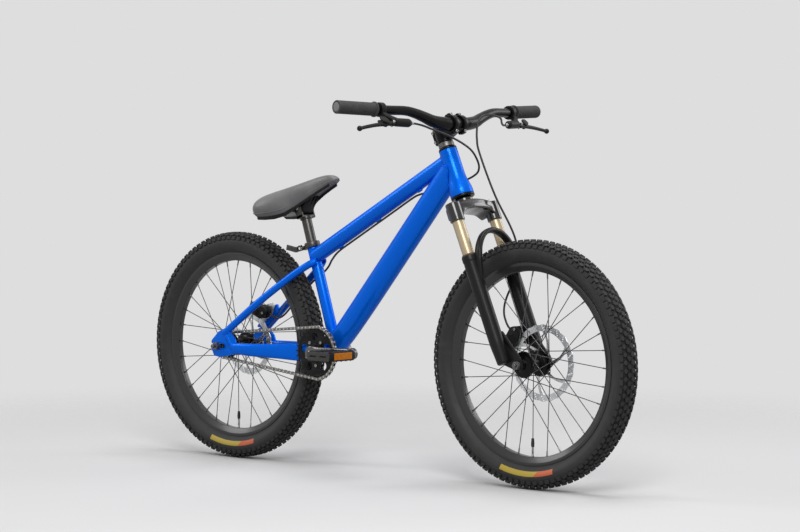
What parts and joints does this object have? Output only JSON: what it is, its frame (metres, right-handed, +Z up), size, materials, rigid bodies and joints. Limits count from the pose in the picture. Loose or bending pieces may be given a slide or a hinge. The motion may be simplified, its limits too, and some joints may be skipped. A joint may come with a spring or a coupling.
{
  "type": "dirt jump bike",
  "caption": "Small-wheeled dirt jump bike with a suspension fork, low sloping frame, hydraulic disc brakes, raised handlebar and a single-speed chain drive.",
  "frame": {"origin": "on the ground, midway between the two wheel axles, in the bike's middle plane", "axes": "+X forwards, +Y to the bike's left, +Z up"},
  "size_m": [1.5418, 0.7294, 0.8934],
  "materials": {
    "frame_blue": "glossy metallic blue paint",
    "black_paint": "satin black paint",
    "matte_black": "matte black anodised finish",
    "tyre_rubber": "moulded rubber",
    "hose_rubber": "smooth rubber sleeve",
    "grip_rubber": "matte ribbed rubber",
    "saddle_vinyl": "grained vinyl over foam",
    "gold": "polished champagne gold anodising",
    "silver": "brushed bright steel",
    "gunmetal": "gunmetal anodising",
    "steel": "oiled steel",
    "black_plastic": "moulded plastic"
  },
  "bodies": {
    "frame_body": {"head_tube": "frame_blue", "top_tube": "frame_blue", "down_tube": "frame_blue", "seat_tube": "frame_blue", "bottom_bracket_shell": "frame_blue", "bottom_bracket_cartridge": "steel", "left_chainstay": "frame_blue", "right_chainstay": "frame_blue", "left_seatstay": "frame_blue", "right_seatstay": "frame_blue", "headset_upper_cup": "black_paint", "headset_lower_cup": "black_paint", "seat_clamp_collar": "gunmetal", "rear_axle": "steel", "rear_brake_adapter": "silver", "rear_brake_caliper": "matte_black", "chain": "steel", "rear_brake_hose": "hose_rubber"},
    "seat_clamp_lever_body": {"seat_clamp_lever": "gunmetal"},
    "seatpost_body": {"seatpost": "gunmetal"},
    "saddle_body": {"saddle_base": "black_plastic", "saddle_pad": "saddle_vinyl"},
    "steering_body": {"fork_crown_and_steerer": "black_paint", "left_stanchion": "gold", "right_stanchion": "gold", "headset_spacer": "silver", "stem": "black_paint", "stem_faceplate": "black_paint", "steerer_top_cap": "black_paint", "handlebar": "black_paint", "left_grip": "grip_rubber", "right_grip": "grip_rubber", "left_brake_body": "matte_black", "right_brake_body": "matte_black", "front_brake_hose": "hose_rubber"},
    "left_brake_lever_body": {"left_brake_lever": "matte_black"},
    "right_brake_lever_body": {"right_brake_lever": "matte_black"},
    "fork_adjuster_knob_body": {"fork_adjuster_knob": "black_plastic"},
    "fork_lowers_body": {"fork_lowers": "black_paint", "front_axle": "steel", "front_brake_caliper": "matte_black"},
    "front_wheel_body": {"front_hub": "black_paint", "front_left_spokes": "black_paint", "front_right_spokes": "black_paint", "front_rim": "black_paint", "front_tyre": "tyre_rubber", "front_brake_rotor": "silver"},
    "rear_wheel_body": {"rear_hub": "black_paint", "rear_left_spokes": "black_paint", "rear_right_spokes": "black_paint", "rear_rim": "black_paint", "rear_tyre": "tyre_rubber", "rear_brake_rotor": "silver"},
    "cog_body": {"freewheel_cog": "steel"},
    "crank_body": {"crank_spindle": "steel", "right_crank_arm": "steel", "left_crank_arm": "steel", "chainring": "black_paint"},
    "left_pedal_body": {"left_pedal": "matte_black"},
    "right_pedal_body": {"right_pedal": "matte_black"}
  },
  "joints": [
    {"name": "steering", "type": "hinge", "parent": "frame_body", "child": "steering_body", "pos_m": [0.22268, 0, 0.78093], "axis": [-0.3907, 0, 0.9205], "range_deg": [-60, 60], "deforming": ["rear_brake_hose"]},
    {"name": "fork_travel", "type": "slide", "parent": "steering_body", "child": "fork_lowers_body", "axis": [-0.3907, 0, 0.9205], "range_m": [0, 0.08], "stiffness_N_per_m": 7000, "springref_m": -0.012, "deforming": ["front_brake_hose"]},
    {"name": "front_wheel_spin", "type": "hinge", "parent": "fork_lowers_body", "child": "front_wheel_body", "pos_m": [0.4808, 0, 0.288], "axis": [0, 1, 0], "continuous": true},
    {"name": "rear_wheel_spin", "type": "hinge", "parent": "frame_body", "child": "rear_wheel_body", "pos_m": [-0.4808, 0, 0.288], "axis": [0, 1, 0], "continuous": true},
    {"name": "crank_spin", "type": "hinge", "parent": "frame_body", "child": "crank_body", "pos_m": [-0.16498, 0, 0.284], "axis": [0, 1, 0], "continuous": true, "deforming": ["chain"]},
    {"name": "cog_spin", "type": "hinge", "parent": "frame_body", "child": "cog_body", "pos_m": [-0.4808, 0, 0.288], "axis": [0, 1, 0], "continuous": true},
    {"name": "left_pedal_spin", "type": "hinge", "parent": "crank_body", "child": "left_pedal_body", "pos_m": [-0.31681, 0.152, 0.27684], "axis": [0, 1, 0], "continuous": true},
    {"name": "right_pedal_spin", "type": "hinge", "parent": "crank_body", "child": "right_pedal_body", "pos_m": [-0.01315, -0.152, 0.29116], "axis": [0, 1, 0], "continuous": true},
    {"name": "left_brake_squeeze", "type": "hinge", "parent": "steering_body", "child": "left_brake_lever_body", "pos_m": [0.25453, 0.23176, 0.84153], "axis": [0.6671, 0.078, 0.7409], "range_deg": [0, 18], "stiffness_Nm_per_rad": 1.5, "springref_deg": -11.46},
    {"name": "right_brake_squeeze", "type": "hinge", "parent": "steering_body", "child": "right_brake_lever_body", "pos_m": [0.25453, -0.23176, 0.84153], "axis": [-0.6671, 0.078, -0.7409], "range_deg": [0, 18], "stiffness_Nm_per_rad": 1.5, "springref_deg": -11.46},
    {"name": "seat_height", "type": "slide", "parent": "frame_body", "child": "seatpost_body", "axis": [-0.304, 0, 0.9527], "range_m": [-0.03, 0.08]},
    {"name": "saddle_tilt", "type": "hinge", "parent": "seatpost_body", "child": "saddle_body", "pos_m": [-0.24971, 0, 0.64006], "axis": [0, 1, 0], "range_deg": [-10, 10]},
    {"name": "seat_clamp_release", "type": "hinge", "parent": "frame_body", "child": "seat_clamp_lever_body", "pos_m": [-0.2449, -0.017, 0.53946], "axis": [-0.304, 0, 0.9527], "range_deg": [0, 120]},
    {"name": "damping_adjust", "type": "hinge", "parent": "steering_body", "child": "fork_adjuster_knob_body", "pos_m": [0.29385, 0.068, 0.65677], "axis": [-0.3907, 0, 0.9205], "range_deg": [0, 270]}
  ],
  "couplings": [
    {"joint": "cog_spin", "follows": "crank_spin", "ratio": 2}
  ]
}
